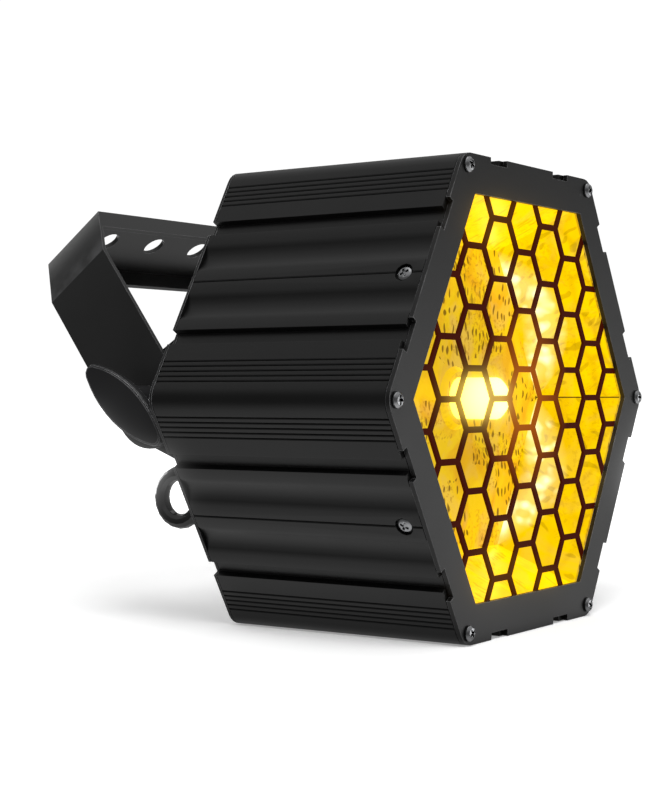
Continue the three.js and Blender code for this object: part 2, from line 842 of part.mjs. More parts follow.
function makeYoke() {
  // The inner face of the shoulder lies one sheet thickness inside the outer one
  const slope = Math.atan2(shoulderAcross, shoulderUp);
  const innerAcross = shoulderAcross - yokeSheet * Math.tan((Math.PI / 2 - slope) / 2);
  const innerUp = innerAcross / Math.tan(slope);
  const innerRise = yokeRise - yokeSheet;
  const outside = stripPoints(yokeHalfSpan, yokeRise, shoulderAcross, shoulderUp);
  const inside = stripPoints(armInner, innerRise, innerAcross, innerUp).reverse();
  const outline = [...outside, ...inside].map(([x, z]) => new THREE.Vector2(x, z));
  const strip = plate(outline, [], -yokeWidth / 2, yokeWidth);
  const barHalf = yokeHalfSpan - shoulderAcross;
  const pieces = [solid(strip)];
  const flanges = [[-yokeWidth / 2, frontFlange], [yokeWidth / 2 - yokeSheet, rearFlange]];
  for (const [from, height] of flanges) {
    const footHalf = barHalf + height * Math.tan(slope);
    const corners = [[-footHalf, yokeRise - height], [footHalf, yokeRise - height],
      [barHalf, yokeRise], [-barHalf, yokeRise]].map(([x, z]) => new THREE.Vector2(x, z));
    pieces.push(solid(plate(corners, [], from, yokeSheet)));
  }
  for (const side of [-1, 1]) {
    const from = side > 0 ? armInner : -yokeHalfSpan;
    pieces.push(solid(crossRod(yokeWidth / 2, from, from + yokeSheet, 0, 0, 2 * roundSteps)));
  }
  let body = wasm.Manifold.union(pieces);
  const reach = yokeHalfSpan + cutOverrun;
  body = body.subtract(solid(crossRod(studRadius + runningGap, -reach, reach)));
  for (let hole = 0; hole < clampHoleCount; hole++) {
    const x = (hole - (clampHoleCount - 1) / 2) * clampHolePitch;
    const drill = new THREE.CylinderGeometry(clampHoleRadius, clampHoleRadius,
      yokeSheet + 2 * cutOverrun, roundSteps);
    drill.rotateX(Math.PI / 2);
    drill.translate(x, -clampHoleForward, yokeRise - yokeSheet / 2);
    body = body.subtract(solid(drill));
  }
  const yoke = add(lamp, 'yoke', geometryOf(body), blackPaint);
  yoke.position.copy(pivotAt);
  yoke.rotation.x = -degrees(yokeLeanDegrees);
}

// The ear's outline: two straight edges from its root, tangent to its round end
function earPoints() {
  const root = panelBack + seatGap;
  const points = [new THREE.Vector2(root, -earRootDown)];
  const lower = tangentAngle(root, -earRootDown, -1);
  const upper = tangentAngle(root, earRootUp, 1);
  for (let step = 0; step <= earEndSteps; step++) {
    const angle = lower + (upper - lower) * step / earEndSteps;
    points.push(new THREE.Vector2(
      pivotAt.y + earEndRadius * Math.cos(angle),
      pivotAt.z + earEndRadius * Math.sin(angle)));
  }
  points.push(new THREE.Vector2(root, earRootUp));
  return points;
}

// The angle, round the pivot, at which a line from the root touches the round end
function tangentAngle(y, z, side) {
  const dy = y - pivotAt.y;
  const dz = z - pivotAt.z;
  const away = Math.acos(earEndRadius / Math.hypot(dy, dz));
  return side * (Math.abs(Math.atan2(dz, dy)) - away);
}

function makePivot(side, word, turn) {
  const from = side > 0 ? earInner : -earOuter;
  const ear = sidewaysPlate(earPoints(), from, earThickness);
  const footMiddle = side * (earOuter - footReach / 2);
  const footY = panelBack + seatGap + earThickness / 2;
  const footHeight = earRootUp + earRootDown;
  const foot = block(footReach, earThickness, footHeight, footMiddle, footY,
    (earRootUp - earRootDown) / 2);
  const nutFrom = side > 0 ? earInner - weldNutLength : -earInner - cutOverrun;
  const nutLength = weldNutLength + cutOverrun;
  const nut = crossRod(weldNutRadius, nutFrom, nutFrom + nutLength, pivotAt.y, pivotAt.z, 6);
  let body = solid(ear).add(solid(foot)).add(solid(nut));
  const bore = studRadius + runningGap;
  const reach = yokeHalfSpan;
  body = body.subtract(solid(crossRod(bore, -reach, reach, pivotAt.y, pivotAt.z)));
  for (const level of [-1, 1]) {
    const hole = rod(bigShankRadius + runningGap, panelBack - cutOverrun, footBack + cutOverrun,
      side * footScrewX, level * footScrewUp, smallRoundSteps);
    body = body.subtract(solid(hole));
    const upper = level > 0 ? 'upper' : 'lower';
    const screw = add(lamp, `bracket_screw_${word}_${upper}`, bigScrew, screwZinc);
    screw.position.set(side * footScrewX, footBack + seatGap, level * footScrewUp);
    screw.rotation.z = Math.PI;
  }
  add(lamp, `pivot_bracket_${word}`, geometryOf(body), blackPaint);

  const inner = studRadius + runningGap;
  const washer = turned([
    [inner, 0],
    [washerRadius, 0],
    [washerRadius, washerThickness],
    [inner, washerThickness],
    [inner, 0],
  ], roundSteps);
  washer.rotateZ(-Math.PI / 2);
  const ring = add(lamp, `friction_washer_${word}`, washer, blackPlastic);
  ring.position.set(side > 0 ? washerInner : -washerOuter, pivotAt.y, pivotAt.z);

  const holder = new THREE.Group();
  holder.position.copy(pivotAt);
  holder.rotation.z = side > 0 ? 0 : Math.PI;
  lamp.add(holder);
  const knob = add(holder, `tilt_knob_${word}`, knobShape, blackPlastic);
  knob.rotation.x = degrees(turn);
}

// A lens with small round tips: the long arcs touch the tip circles from outside
function lensPoints(halfLength, halfWidth, tip) {
  const centre = halfLength - tip;
  const big = (centre * centre + halfWidth * halfWidth - tip * tip) / (2 * (halfWidth - tip));
  const sweep = Math.asin(centre / (big - tip));
  const points = [];
  for (const side of [1, -1]) {
    const middle = -side * (big - halfWidth);
    for (let step = 0; step < knobSideSteps; step++) {
      const angle = side * Math.PI / 2 - sweep + 2 * sweep * step / knobSideSteps;
      points.push(new THREE.Vector2(big * Math.cos(angle), middle + big * Math.sin(angle)));
    }
    for (let step = 0; step < knobTipSteps; step++) {
      const tipSweep = Math.PI - 2 * sweep;
      const angle = side * Math.PI / 2 + sweep + tipSweep * step / knobTipSteps;
      points.push(new THREE.Vector2(
        -side * centre + tip * Math.cos(angle), tip * Math.sin(angle)));
    }
  }
  return points;
}

function makeKnobShape() {
  const hubFrom = yokeHalfSpan + runningGap;
  const wingFrom = hubFrom + knobHubLength;
  const studEnd = earInner - weldNutLength - cutOverrun;
  const points = lensPoints(knobHalfLength - knobEdge, knobHalfWidth - knobEdge, knobTipRadius);
  const wing = new THREE.ExtrudeGeometry(new THREE.Shape(points), {
    depth: knobWingThickness - 2 * knobEdge,
    bevelEnabled: true,
    bevelThickness: knobEdge,
    bevelSize: knobEdge,
    bevelSegments: 2,
  });
  wing.applyMatrix4(sideways);
  wing.translate(wingFrom + knobEdge, 0, 0);
  const hub = crossRod(knobHubRadius, hubFrom, wingFrom + knobEdge);
  const stud = crossRod(studRadius, studEnd, hubFrom + knobEdge);
  return joined(wing, hub, stud);
}

const knobShape = makeKnobShape();

function makeSafetyEye() {
  const seat = panelBack + seatGap;
  const collarBack = seat + eyeCollarHeight;
  const centre = collarBack + eyeRingRadius + eyeWireRadius - eyeSink;
  const ring = new THREE.TorusGeometry(eyeRingRadius, eyeWireRadius, 10, roundSteps);
  ring.rotateY(Math.PI / 2);
  ring.translate(0, centre, 0);
  const collar = rod(eyeCollarRadius, seat, collarBack);
  const stud = rod(eyeStudRadius, seat - eyeStudLength, seat + eyeCollarHeight / 2);
  const eye = add(lamp, 'safety_eye', joined(ring, collar, stud), blackPaint);
  eye.position.set(eyeX, 0, eyeZ);

  const nutBack = panelFront - seatGap;
  const nutBody = rod(eyeNutRadius, nutBack - eyeNutHeight, nutBack, 0, 0, 6);
  const bore = rod(eyeStudRadius + runningGap, nutBack - eyeNutHeight - cutOverrun,
    nutBack + cutOverrun, 0, 0, smallRoundSteps);
  const nut = add(lamp, 'safety_eye_nut', cutBy(nutBody, bore), screwZinc);
  nut.position.set(eyeX, 0, eyeZ);
}

makeHousing();
makeFrontFrame();
makeGrille();
makeReflector();
makeLightEngine();
makeElectronics();
makeRearPanel();
makeControls();
makeSockets();
makeScrews();
makeYoke();
makePivot(-1, 'left', leftKnobDegrees);
makePivot(1, 'right', rightKnobDegrees);
makeSafetyEye();

// The origin is on the ground, under the middle of the lamp and its yoke
const blinder = new THREE.Group();
blinder.add(lamp);
lamp.updateMatrixWorld(true);
const reach = new THREE.Box3().setFromObject(lamp, true);
lamp.position.set(0, -(reach.min.y + reach.max.y) / 2, flat);

export default blinder;
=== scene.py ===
# %% [markdown]
# # A hexagonal retro blinder
#
# The lamp is a ribbed black aluminium body with a gold reflector tray behind a honeycomb
# front, and it hangs from a bent steel yoke. The solids come in from the CAD model, at
# their real size, and stay as they are. This notebook gives them their finishes, adds the
# small things that a solid model leaves out, and lights them as in the photograph.

# %% Load the solids
import json
import math

import bmesh
import bpy
from mathutils import Matrix, Vector


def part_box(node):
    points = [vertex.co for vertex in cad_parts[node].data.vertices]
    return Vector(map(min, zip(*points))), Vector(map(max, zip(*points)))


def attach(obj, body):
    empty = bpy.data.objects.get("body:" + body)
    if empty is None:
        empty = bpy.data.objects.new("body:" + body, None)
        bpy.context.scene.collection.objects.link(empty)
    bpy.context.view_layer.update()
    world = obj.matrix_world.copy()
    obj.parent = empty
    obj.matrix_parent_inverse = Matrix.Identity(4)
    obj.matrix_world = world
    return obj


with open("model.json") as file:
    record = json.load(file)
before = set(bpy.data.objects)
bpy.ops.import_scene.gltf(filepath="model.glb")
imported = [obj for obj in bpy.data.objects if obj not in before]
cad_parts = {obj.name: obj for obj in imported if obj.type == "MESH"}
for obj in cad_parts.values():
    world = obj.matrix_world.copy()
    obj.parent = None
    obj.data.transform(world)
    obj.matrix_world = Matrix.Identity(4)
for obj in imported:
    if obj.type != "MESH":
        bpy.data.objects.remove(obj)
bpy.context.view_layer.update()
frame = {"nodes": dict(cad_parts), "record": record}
nodes = frame["nodes"]
mm = 0.001

# %% [markdown]
# ## Places on the lamp
#
# Everything that is added later sits on a solid, so its place is read from that solid's
# box. The lamp's axis runs along Y through the middle of the diffuser.

# %% Read the main places
def middle(node):
    low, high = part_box(node)
    return (low + high) / 2


lamp_axis = middle("lamp_diffuser")
frame_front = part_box("front_frame")[0].y
tray_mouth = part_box("reflector_tray")[0].y
tray_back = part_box("reflector_tray")[1].y
print("lamp axis height in mm:", round(lamp_axis.z / mm, 1))

# %% [markdown]
# ## The camera
#
# The photograph was matched by solving a camera from the hexagon's corners and the
# screws. It stands a little under a metre away, almost level with the lamp, and looks
# along the front from the left. Its place is given from the middle of the front frame.

# %% Set the camera
camera_from_front = Vector((-778.9, -405.4, 5.1)) * mm
camera_azimuth = math.radians(-55.84)
camera_elevation = math.radians(0.38)
camera_roll = math.radians(-0.09)
lens_length = 75.47
sensor_width = 36


def look_direction(azimuth, elevation):
    return Vector((
        -math.sin(azimuth) * math.cos(elevation),
        math.cos(azimuth) * math.cos(elevation),
        -math.sin(elevation),
    ))


camera_data = bpy.data.cameras.new("photo_camera")
camera_data.lens = lens_length
camera_data.sensor_width = sensor_width
camera = bpy.data.objects.new("photo_camera", camera_data)
bpy.context.scene.collection.objects.link(camera)
camera.location = Vector((0, frame_front, lamp_axis.z)) + camera_from_front
towards = look_direction(camera_azimuth, camera_elevation)
camera.rotation_mode = "QUATERNION"
camera.rotation_quaternion = towards.to_track_quat("-Z", "Y")
camera.rotation_quaternion @= Matrix.Rotation(camera_roll, 4, "Z").to_quaternion()
bpy.context.scene.camera = camera
print("camera distance in mm:", round((camera.location - lamp_axis).length / mm))

# %% [markdown]
# ## Colours as they are seen
#
# Product photographs keep white paper white and yellow fully yellow. Blender's usual film
# look softens both, so the plain transform is used.

# %% Choose the plain view transform
bpy.context.scene.display_settings.display_device = "sRGB"
bpy.context.scene.view_settings.view_transform = "Standard"
bpy.context.scene.view_settings.look = "None"
print("view transform:", bpy.context.scene.view_settings.view_transform)

# %% [markdown]
# ## Helpers for nodes
#
# Materials are made of many small nodes, and a few short functions keep them readable. A
# node's inputs are given by name, and each takes either a plain value or another node's
# output, so that a whole material reads from top to bottom like a sum.

# %% Add, fill and link nodes
def link(tree, start, end):
    tree.links.new(start, end)


def fill(tree, socket, value):
    if isinstance(value, bpy.types.NodeSocket):
        link(tree, value, socket)
    else:
        socket.default_value = value


def set_inputs(tree, node, values):
    for name, value in values.items():
        fill(tree, node.inputs[name], value)


def add_node(tree, kind, values=None, **settings):
    node = tree.nodes.new(kind)
    for name, value in settings.items():
        setattr(node, name, value)
    set_inputs(tree, node, values or {})
    return node


def place_on_part(tree):
    return add_node(tree, "ShaderNodeTexCoord").outputs["Object"]


print("node helpers:", [helper.__name__ for helper in (link, fill, set_inputs, add_node)])

# %% Calculate with values and directions
def maths(tree, operation, *values):
    node = add_node(tree, "ShaderNodeMath", operation=operation)
    for socket, value in zip(node.inputs, values):
        fill(tree, socket, value)
    return node.outputs[0]


def product(tree, first, *others):
    for other in others:
        first = maths(tree, "MULTIPLY", first, other)
    return first


def vector_maths(tree, operation, *values):
    node = add_node(tree, "ShaderNodeVectorMath", operation=operation)
    for socket, value in zip(node.inputs, values):
        fill(tree, socket, value)
    gives_number = operation in ("LENGTH", "DOT_PRODUCT")
    return node.outputs["Value" if gives_number else "Vector"]


def remap(tree, value, span, target=(0.0, 1.0)):
    node = add_node(tree, "ShaderNodeMapRange", {
        "Value": value, "From Min": span[0], "From Max": span[1],
        "To Min": target[0], "To Max": target[1],
    })
    return node.outputs["Result"]


print("sums:", [helper.__name__ for helper in (maths, product, vector_maths, remap)])

# %% Mix colours
# A hex value is stored as sRGB, and its curve turns it into an amount of light.
def linear(channel):
    if channel <= 0.04045:
        return channel / 12.92
    return ((channel + 0.055) / 1.055) ** 2.4


def colour(text):
    channels = [int(text[at:at + 2], 16) / 255 for at in (1, 3, 5)]
    return (*[linear(channel) for channel in channels], 1)


def grey(level):
    return (level, level, level, 1)


mix_inputs = (0, 6, 7)
mixed_colour = 2


def mix_colour(tree, factor, first, second):
    node = add_node(tree, "ShaderNodeMix", data_type="RGBA")
    for index, value in zip(mix_inputs, (factor, first, second)):
        fill(tree, node.inputs[index], value)
    return node.outputs[mixed_colour]


print("white as seen:", colour("#ffffff")[:3])

# %% Start groups and materials
def new_group(name, inputs, outputs):
    group = bpy.data.node_groups.new(name, "ShaderNodeTree")
    for socket_name, value in inputs.items():
        kind = "NodeSocketVector" if isinstance(value, tuple) else "NodeSocketFloat"
        socket = group.interface.new_socket(socket_name, in_out="INPUT", socket_type=kind)
        socket.default_value = value
    for socket_name in outputs:
        group.interface.new_socket(socket_name, in_out="OUTPUT", socket_type="NodeSocketFloat")
    given = group.nodes.new("NodeGroupInput").outputs
    return group, given, group.nodes.new("NodeGroupOutput")


def socket_names(group, way):
    return [socket.name for socket in group.interface.items_tree if socket.in_out == way]


def place_group(tree, group, values):
    return add_node(tree, "ShaderNodeGroup", values, node_tree=group).outputs


def new_material(name):
    material = bpy.data.materials.new(name)
    material.use_nodes = True
    tree = material.node_tree
    shader = next(node for node in tree.nodes if node.type == "BSDF_PRINCIPLED")
    return material, tree, shader


def emboss(tree, shader, height, strength, depth):
    values = {"Height": height, "Strength": strength, "Distance": depth}
    relief = add_node(tree, "ShaderNodeBump", values)
    link(tree, relief.outputs["Normal"], shader.inputs["Normal"])


print("starters:", [helper.__name__ for helper in (new_group, place_group, new_material)])

# %% [markdown]
# ## A node group for painted edge highlights and wear
#
# Powder coat and anodising catch the light along an edge, where the coat is thin and the
# corner is really a tiny curve. This group paints that highlight into the colour, together
# with wear. A Bevel node gives the normal that a rounded corner would have. Where it turns
# away from the true normal, the point lies near an edge. Noise breaks the line up, so that
# it looks handled and not drawn.

# %% Build the edge highlight and wear group
edge_turn = (0.985, 0.86)
edge_patches = (0.35, 0.62)
patch_strength = (0.35, 1.0)


def build_edge_highlight_and_wear():
    group, given, made = new_group(
        "edge highlight and wear", {"Width": 0.5 * mm, "Amount": 0.5, "Patch Scale": 90.0}, ["Mask"])
    rounded = add_node(group, "ShaderNodeBevel", {"Radius": given["Width"]}, samples=4)
    true_normal = add_node(group, "ShaderNodeNewGeometry").outputs["True Normal"]
    facing = vector_maths(group, "DOT_PRODUCT", rounded.outputs["Normal"], true_normal)
    patches = add_node(group, "ShaderNodeTexNoise", {
        "Vector": place_on_part(group), "Scale": given["Patch Scale"], "Detail": 4.0})
    broken = remap(group, patches.outputs["Fac"], edge_patches, patch_strength)
    # The mask of the painted edge highlight, together with wear.
    lit_and_worn_edge = product(group, remap(group, facing, edge_turn), broken, given["Amount"])
    set_inputs(group, made, {"Mask": lit_and_worn_edge})
    return group


edge_highlight_and_wear = build_edge_highlight_and_wear()
print("edge highlight and wear inputs:", socket_names(edge_highlight_and_wear, "INPUT"))

# %% [markdown]
# ## A node group for painted shade in hollows
#
# The cross in a screw's head is dark, because little light gets in. This group paints that
# shade into the colour: ambient occlusion measures how shut in a point is, and the group
# turns that into a mask.

# %% Build the hollow shade group
shut_in_span = (0.80, 0.52)


def build_hollow_shade():
    group, given, made = new_group("hollow shade", {"Reach": 1.5 * mm}, ["Mask"])
    openness = add_node(
        group, "ShaderNodeAmbientOcclusion", {"Distance": given["Reach"]}, samples=8)
    set_inputs(group, made, {"Mask": remap(group, openness.outputs["AO"], shut_in_span)})
    return group


hollow_shade = build_hollow_shade()
print("hollows inputs:", socket_names(hollow_shade, "INPUT"))

# %% [markdown]
# ## A node group for fine grain
#
# Every coat on the lamp has a skin: the powder coat is pebbled, the nylon knob is finely
# etched, and drawn sheet has faint streaks. One group makes them all. It stretches noise
# along one direction or leaves it even, and puts out a height for the bump, a roughness
# and a slight change of tone.

# %% Build the grain group
noise_middle = 0.5
tone_span = (0.3, 0.7)


def build_grain():
    group, given, made = new_group(
        "fine grain",
        {"Scale": 1800.0, "Stretch": (1.0, 1.0, 1.0), "Roughness": 0.5,
         "Roughness Spread": 0.1, "Smudge Scale": 14.0},
        ["Height", "Roughness", "Tone"])
    place = place_on_part(group)
    grain = add_node(group, "ShaderNodeTexNoise", {
        "Vector": vector_maths(group, "MULTIPLY", place, given["Stretch"]),
        "Scale": given["Scale"], "Detail": 3.0, "Roughness": 0.6})
    smudge = add_node(group, "ShaderNodeTexNoise", {
        "Vector": place, "Scale": given["Smudge Scale"], "Detail": 5.0, "Roughness": 0.55})
    centred = maths(group, "SUBTRACT", smudge.outputs["Fac"], noise_middle)
    both_ways = product(group, centred, given["Roughness Spread"], 2.0)
    set_inputs(group, made, {
        "Height": grain.outputs["Fac"],
        "Roughness": maths(group, "ADD", given["Roughness"], both_ways),
        "Tone": remap(group, smudge.outputs["Fac"], tone_span),
    })
    return group


fine_grain = build_grain()
print("grain outputs:", socket_names(fine_grain, "OUTPUT"))

# %% [markdown]
# ## Black coats
#
# The body, the sheet parts, the knobs and the sockets are all black, but no two have the
# same sheen. One maker builds them from the groups: a base and a lighter second tone, a
# grain with its own scale and direction, a painted highlight with wear along the edges,
# and, where a colour is given for it, painted shade in the hollows.

# %% Build a coated black
hollow_shade_reach = 1.4 * mm


def coated(name, base, second, lit_and_worn_edge, grain, edge_highlight_and_wear_inputs, bump, hollow_shade_colour=None, sheen=0.5, metallic=0.0):
    material, tree, shader = new_material(name)
    skin = place_group(tree, fine_grain, grain)
    edges = place_group(tree, edge_highlight_and_wear, edge_highlight_and_wear_inputs)
    tone = mix_colour(tree, skin["Tone"], colour(base), colour(second))
    # Paint the edge highlight, together with wear, along the edges.
    tone = mix_colour(tree, edges["Mask"], tone, colour(lit_and_worn_edge))
    # Paint shade into the hollows, where a shade colour is given.
    if hollow_shade_colour:
        shut_in = place_group(tree, hollow_shade, {"Reach": hollow_shade_reach})
        tone = mix_colour(tree, shut_in["Mask"], tone, colour(hollow_shade_colour))
    set_inputs(tree, shader, {
        "Base Color": tone, "Roughness": skin["Roughness"],
        "Metallic": metallic, "Specular IOR Level": sheen,
    })
    emboss(tree, shader, skin["Height"], *bump)
    return material


body_coat = coated(
    "body_powder_coat", base="#0a0a0a", second="#0f0f0f", lit_and_worn_edge="#3c3c3d",
    grain={"Scale": 900.0, "Stretch": (1.0, 0.06, 1.0), "Roughness": 0.34,
           "Roughness Spread": 0.08},
    edge_highlight_and_wear_inputs={"Width": 0.4 * mm, "Amount": 0.35}, bump=(0.14, 0.08 * mm))
# The sheet parts' pale edge colour paints highlights along their edges, together with wear.
sheet_coat = coated(
    "sheet_powder_coat", base="#0f0f0f", second="#151515", lit_and_worn_edge="#b0b0b2",
    grain={"Scale": 1500.0, "Roughness": 0.42, "Roughness Spread": 0.06},
    edge_highlight_and_wear_inputs={"Width": 0.5 * mm, "Amount": 0.7}, bump=(0.16, 0.10 * mm))
# The yoke's copy of the sheet coat is painted a little lighter, to stand in for the light on its
# arms; its pale edge colour is a painted highlight, with wear.
yoke_coat_painted_lighter = coated(
    "yoke_powder_coat_painted_lighter", base="#222222", second="#292929", lit_and_worn_edge="#b0b0b2",
    grain={"Scale": 1500.0, "Roughness": 0.40, "Roughness Spread": 0.06},
    edge_highlight_and_wear_inputs={"Width": 0.5 * mm, "Amount": 0.5}, bump=(0.16, 0.10 * mm))
eye_coat = coated(
    "eye_gloss_black", base="#060606", second="#0a0a0a", lit_and_worn_edge="#39393a", sheen=0.6,
    grain={"Scale": 700.0, "Roughness": 0.10, "Roughness Spread": 0.04},
    edge_highlight_and_wear_inputs={"Width": 0.5 * mm, "Amount": 0.3}, bump=(0.06, 0.05 * mm))
print("painted black:", [coat.name for coat in (body_coat, sheet_coat, yoke_coat_painted_lighter, eye_coat)])

# %% Mould the black plastics
# The knob's near-white edge colour paints the highlight along its rounded rim, together with wear.
knob_coat = coated(
    "knob_nylon", base="#1f1f20", second="#252526", lit_and_worn_edge="#d4d4d6",
    grain={"Scale": 2200.0, "Roughness": 0.40, "Roughness Spread": 0.06},
    edge_highlight_and_wear_inputs={"Width": 0.7 * mm, "Amount": 1.0}, bump=(0.24, 0.10 * mm))
socket_coat = coated(
    "socket_plastic", base="#101011", second="#141415", lit_and_worn_edge="#444446",
    grain={"Scale": 1900.0, "Roughness": 0.42, "Roughness Spread": 0.06},
    edge_highlight_and_wear_inputs={"Width": 0.4 * mm, "Amount": 0.25}, bump=(0.22, 0.08 * mm))
washer_coat = coated(
    "washer_fibre", base="#141312", second="#1a1918", lit_and_worn_edge="#3c3b3a", sheen=0.3,
    grain={"Scale": 1200.0, "Roughness": 0.75, "Roughness Spread": 0.08},
    edge_highlight_and_wear_inputs={"Width": 0.3 * mm, "Amount": 0.2}, bump=(0.4, 0.12 * mm))
button_coat = coated(
    "button_silicone", base="#161617", second="#1c1c1d", lit_and_worn_edge="#48484a", sheen=0.4,
    grain={"Scale": 1600.0, "Roughness": 0.62, "Roughness Spread": 0.05},
    edge_highlight_and_wear_inputs={"Width": 0.6 * mm, "Amount": 0.35}, bump=(0.15, 0.06 * mm))
print("moulded:", [coat.name for coat in (knob_coat, socket_coat, washer_coat, button_coat)])

# %% [markdown]
# ## Bright metals
#
# The screws are zinc plated and smudged by handling. The heat sink and the driver's case
# are plain aluminium with drawing lines, and the inner plate and its standoffs are dull
# plated steel. A metal's colour is its reflection, so each one is fully metallic and
# differs in tint, roughness and the direction of its marks.

# %% Build the plain metals
# The screws' white edge colour paints glints along their edges, together with wear, and their dark
# hollow colour paints the shade in the cross.
screw_metal = coated(
    "plated_screws", base="#a2a3a5", second="#bcbdbf", lit_and_worn_edge="#f2f2f2", metallic=1.0,
    grain={"Scale": 2600.0, "Roughness": 0.26, "Roughness Spread": 0.12, "Smudge Scale": 160.0},
    edge_highlight_and_wear_inputs={"Width": 0.4 * mm, "Amount": 0.4}, bump=(0.15, 0.05 * mm), hollow_shade_colour="#1c1c1d")
# The white edge colour of the bare metals paints highlights along their edges, together with wear.
sink_metal = coated(
    "bare_aluminium", base="#a9abad", second="#bcbec0", lit_and_worn_edge="#f2f2f2", metallic=1.0,
    grain={"Scale": 900.0, "Stretch": (1.0, 1.0, 0.05), "Roughness": 0.40,
           "Roughness Spread": 0.12},
    edge_highlight_and_wear_inputs={"Width": 0.4 * mm, "Amount": 0.3}, bump=(0.25, 0.08 * mm))
steel_metal = coated(
    "plated_steel", base="#9b9c98", second="#adaea9", lit_and_worn_edge="#f2f2f2", metallic=1.0,
    grain={"Scale": 700.0, "Roughness": 0.48, "Roughness Spread": 0.14, "Smudge Scale": 40.0},
    edge_highlight_and_wear_inputs={"Width": 0.4 * mm, "Amount": 0.3}, bump=(0.2, 0.06 * mm))
print("plain metals:", [metal.name for metal in (screw_metal, sink_metal, steel_metal)])

# %% [markdown]
# ## The gold reflector
#
# The tray is one gold anodised sheet. Its floor is hammered in plots about as wide as the
# grille's cells: some are full of short strokes, some are speckled, some are nearly plain,
# and the gold runs from lemon to orange and a dusty beige. Its six walls are smoother, with
# weaker marks. The same material does both: it reads the surface's direction to know the
# floor from the walls. Much of its colour is a painted glow, which stands in for the lamp's
# light on the gold, because the lit tray is far brighter than the studio round it.

# %% Build the hammer marks group
stroke_size = {"Stroke Length": 9.6 * mm, "Stroke Width": 4.2 * mm}
bend_reach = 0.03
struck_plots = (0.40, 0.45)
speckled_plots = (0.40, 0.48)
stroke_gaps = 0.18
stroke_edge = (0.27, 0.17)
speck_edge = (0.52, 0.62)
patch_edge = (0.46, 0.62)
blush_edge = (0.50, 0.62)


def build_hammer_marks():
    group, given, made = new_group(
        "hammer marks", {**stroke_size, "Swirl": 0.5},
        ["Strokes", "Specks", "Height", "Patches", "Blush"])
    place = place_on_part(group)
    wander = add_node(group, "ShaderNodeTexNoise", {"Vector": place, "Scale": 55.0, "Detail": 2.0})
    sway = vector_maths(group, "SUBTRACT", wander.outputs["Color"], (noise_middle,) * 3)
    pull = vector_maths(group, "MULTIPLY", sway, product(group, given["Swirl"], bend_reach))
    bent = vector_maths(group, "ADD", place, pull)
    split = add_node(group, "ShaderNodeSeparateXYZ", {"Vector": bent}).outputs
    lattice = add_node(group, "ShaderNodeCombineXYZ", {
        "X": maths(group, "DIVIDE", split["X"], given["Stroke Width"]),
        "Y": maths(group, "DIVIDE", split["Z"], given["Stroke Length"])})
    cells = add_node(group, "ShaderNodeTexVoronoi", {
        "Vector": lattice.outputs["Vector"], "Scale": 1.0, "Randomness": 0.7,
    }, voronoi_dimensions="2D").outputs
    plots = add_node(group, "ShaderNodeTexVoronoi", {
        "Vector": bent, "Scale": 48.0, "Randomness": 0.55}).outputs
    cell_kind = add_node(group, "ShaderNodeSeparateColor", {"Color": cells["Color"]}).outputs
    plot_kind = add_node(group, "ShaderNodeSeparateColor", {"Color": plots["Color"]}).outputs
    specks = add_node(group, "ShaderNodeTexNoise", {"Vector": bent, "Scale": 430.0, "Detail": 2.0})
    dimples = add_node(
        group, "ShaderNodeTexVoronoi", {"Vector": bent, "Scale": 150.0}, feature="SMOOTH_F1")
    cloud = add_node(group, "ShaderNodeTexNoise", {
        "Vector": place, "Scale": 36.0, "Detail": 4.0, "Distortion": 1.0}).outputs
    tints = add_node(group, "ShaderNodeSeparateColor", {"Color": cloud["Color"]}).outputs
    set_inputs(group, made, {
        "Strokes": product(
            group, remap(group, cells["Distance"], stroke_edge),
            maths(group, "GREATER_THAN", cell_kind["Red"], stroke_gaps),
            remap(group, plot_kind["Red"], struck_plots)),
        "Specks": product(
            group, remap(group, specks.outputs["Fac"], speck_edge),
            remap(group, plot_kind["Green"], speckled_plots)),
        "Height": dimples.outputs["Distance"],
        "Patches": remap(group, tints["Red"], patch_edge),
        "Blush": remap(group, tints["Blue"], blush_edge),
    })
    return group


hammer_marks = build_hammer_marks()
print("hammer marks outputs:", socket_names(hammer_marks, "OUTPUT"))

# %% [markdown]
# ## Gold with a painted reflection of the lamp
#
# The four walls beside the lamp carry a painted reflection of it, pale, in an arch a third
# of the way up, broken by the dimples. Near the lamp the floor would mirror it too and lose
# its colour, so there the base colour is painted darkest, as painted shade; elsewhere it is
# darkened less. Both are placed by the distance from the lamp's axis, measured on the part,
# so that they stay put from every side.

# %% Measure from the lamp's axis
def distance_from_axis(tree):
    offset = vector_maths(tree, "SUBTRACT", place_on_part(tree), (0, 0, lamp_axis.z))
    return vector_maths(tree, "LENGTH", vector_maths(tree, "MULTIPLY", offset, (1, 0, 1)))


# The painted reflection of the lamp lies in an arch between these distances from its axis.
painted_reflection_rise = (83 * mm, 88 * mm)
painted_reflection_fall = (95 * mm, 90 * mm)
collar_reach = 60 * mm
# Painted shade darkens the gold's base colour most within these distances of the lamp's axis.
painted_shade_ring = (75 * mm, 40 * mm)
print("painted reflection arch in mm:", round(painted_reflection_rise[0] / mm), "to", round(painted_reflection_fall[0] / mm))

# %% Build the gold
floor_facing = -0.9
side_facing = 0.2
wall_marks = 0.35
# The third colour is painted shade, mixed into the base colour.
wall_gold, floor_gold, painted_shade_gold = "#ffd000", "#ebc210", "#3a2400"
mark_amounts = {"Patches": 0.6, "Blush": 0.4, "Specks": 0.45, "Strokes": 0.85}
mark_colours = {
    "Patches": "#d69212", "Blush": "#d6ae62", "Specks": "#9a6414", "Strokes": "#5e4006"}
# The pale colour of the lamp's painted reflection on the walls.
painted_reflection_colour = (1.5, 1.4, 0.72, 1)
painted_reflection_breaks = ((0.1, 0.5), (1.15, 0.2))
# How far the painted shade darkens the base colour, away from the lamp and beside it.
painted_shade_amounts = (0.55, 0.95)
